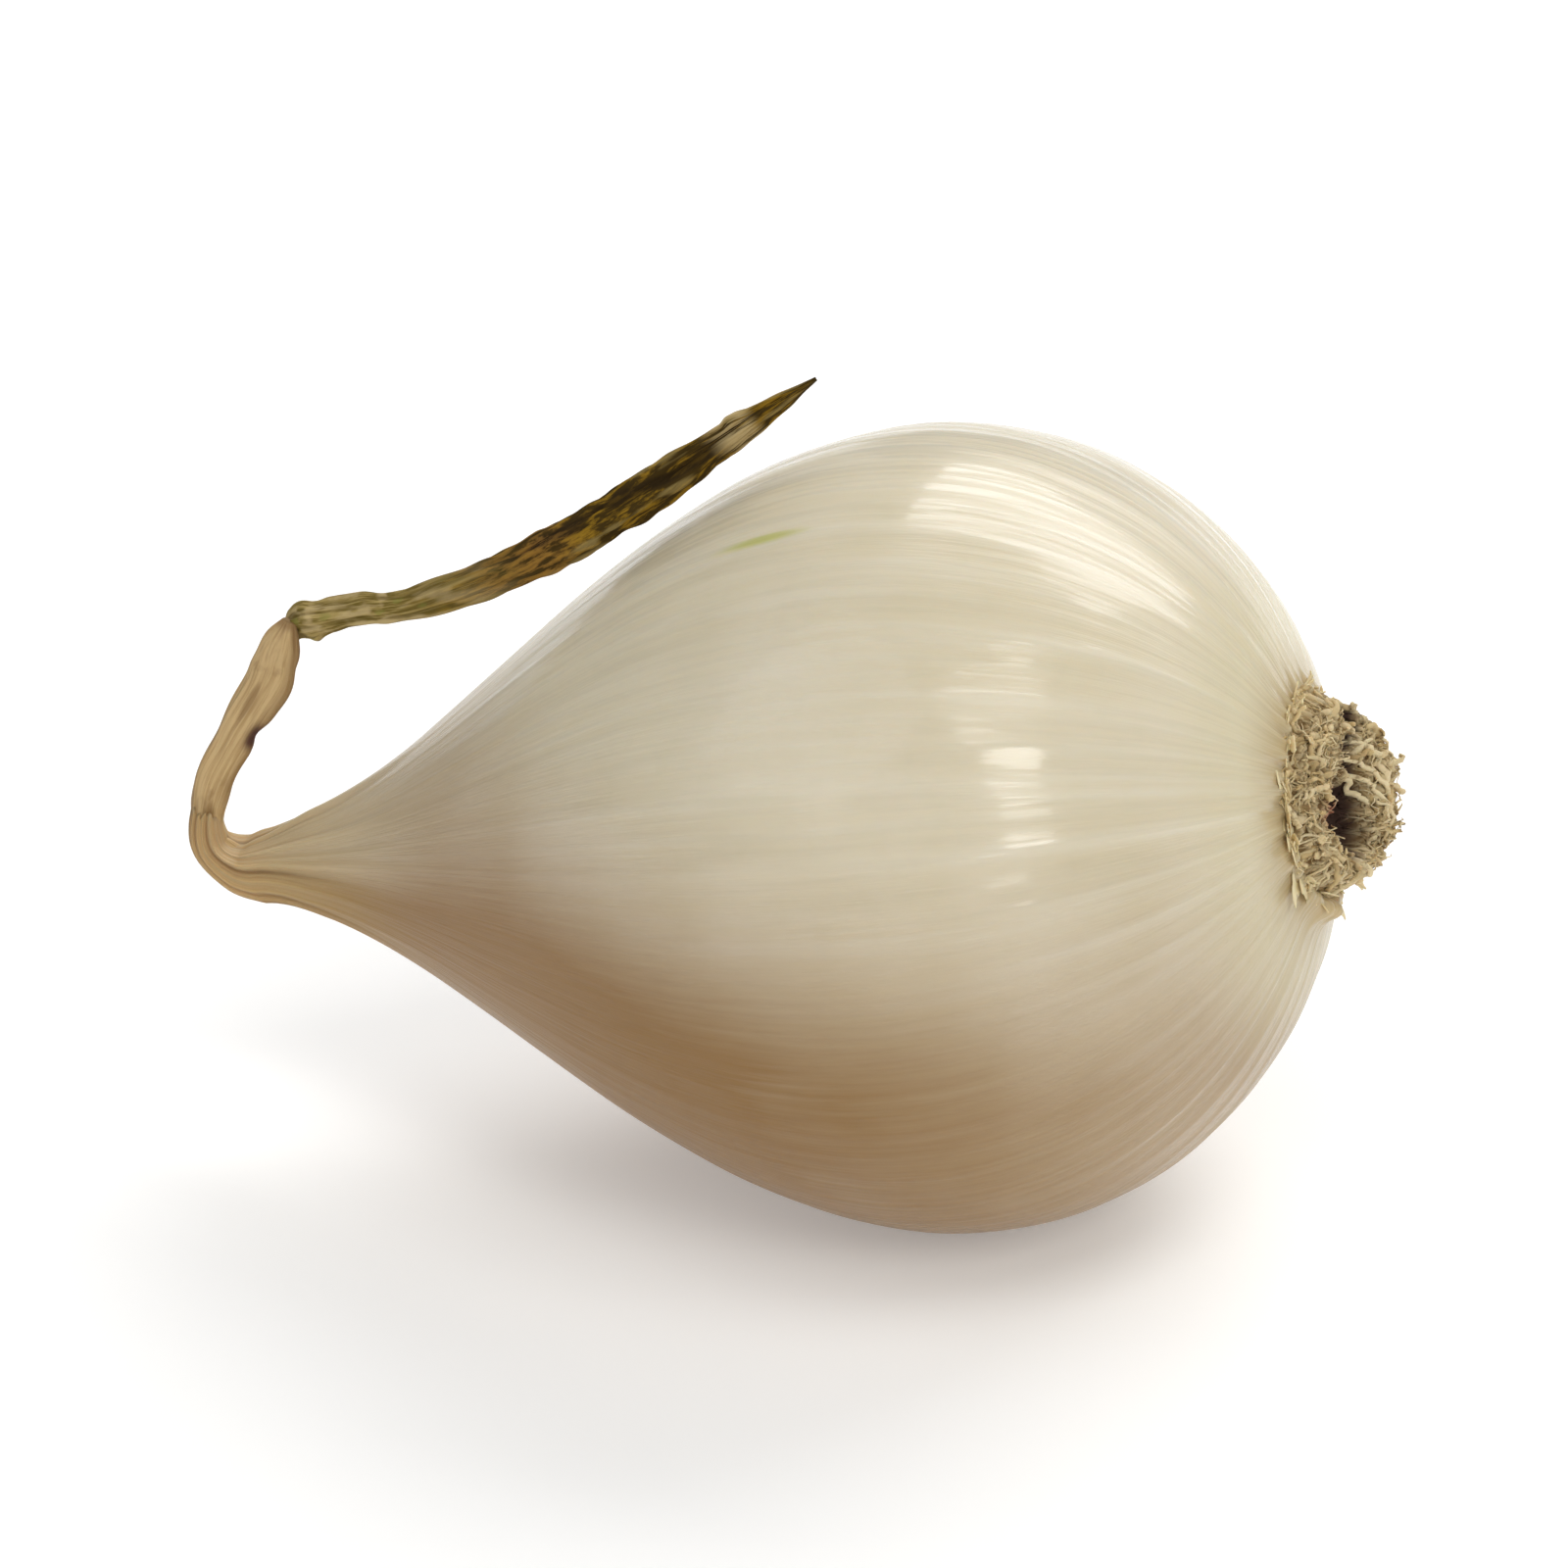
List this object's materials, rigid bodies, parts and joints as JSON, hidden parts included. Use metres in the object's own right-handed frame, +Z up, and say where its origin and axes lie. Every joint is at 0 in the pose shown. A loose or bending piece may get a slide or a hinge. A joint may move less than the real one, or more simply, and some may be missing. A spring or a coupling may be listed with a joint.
{
  "type": "onion set",
  "caption": "Small dry white onion bulb for planting, lying on its side, with a bent dry neck, a withered leaf and a tuft of dried roots.",
  "frame": {"origin": "centre of the small flat spot that the bulb rests on, straight below its widest part", "axes": "+X towards the root end, +Z up; the bulb's own axis lies in the XZ plane, with the root end 12 degrees up"},
  "size_m": [0.0361, 0.0243, 0.0246],
  "materials": {
    "white_skin": "pearly ivory-white dry skin, glossy, with fine lengthwise ridges",
    "dark_cork": "dark brown, corky and dry",
    "dried_root": "straw-coloured, dry and matted",
    "straw_skin": "straw-coloured papery skin with lengthwise pleats",
    "withered_leaf": "olive-brown dried leaf, wrinkled, darker towards its tip"
  },
  "bodies": {
    "root": {"bulb": "white_skin", "basal_plate": "dark_cork", "dried_roots": "dried_root", "dry_neck": "straw_skin", "withered_leaf": "withered_leaf"}
  },
  "joints": []
}
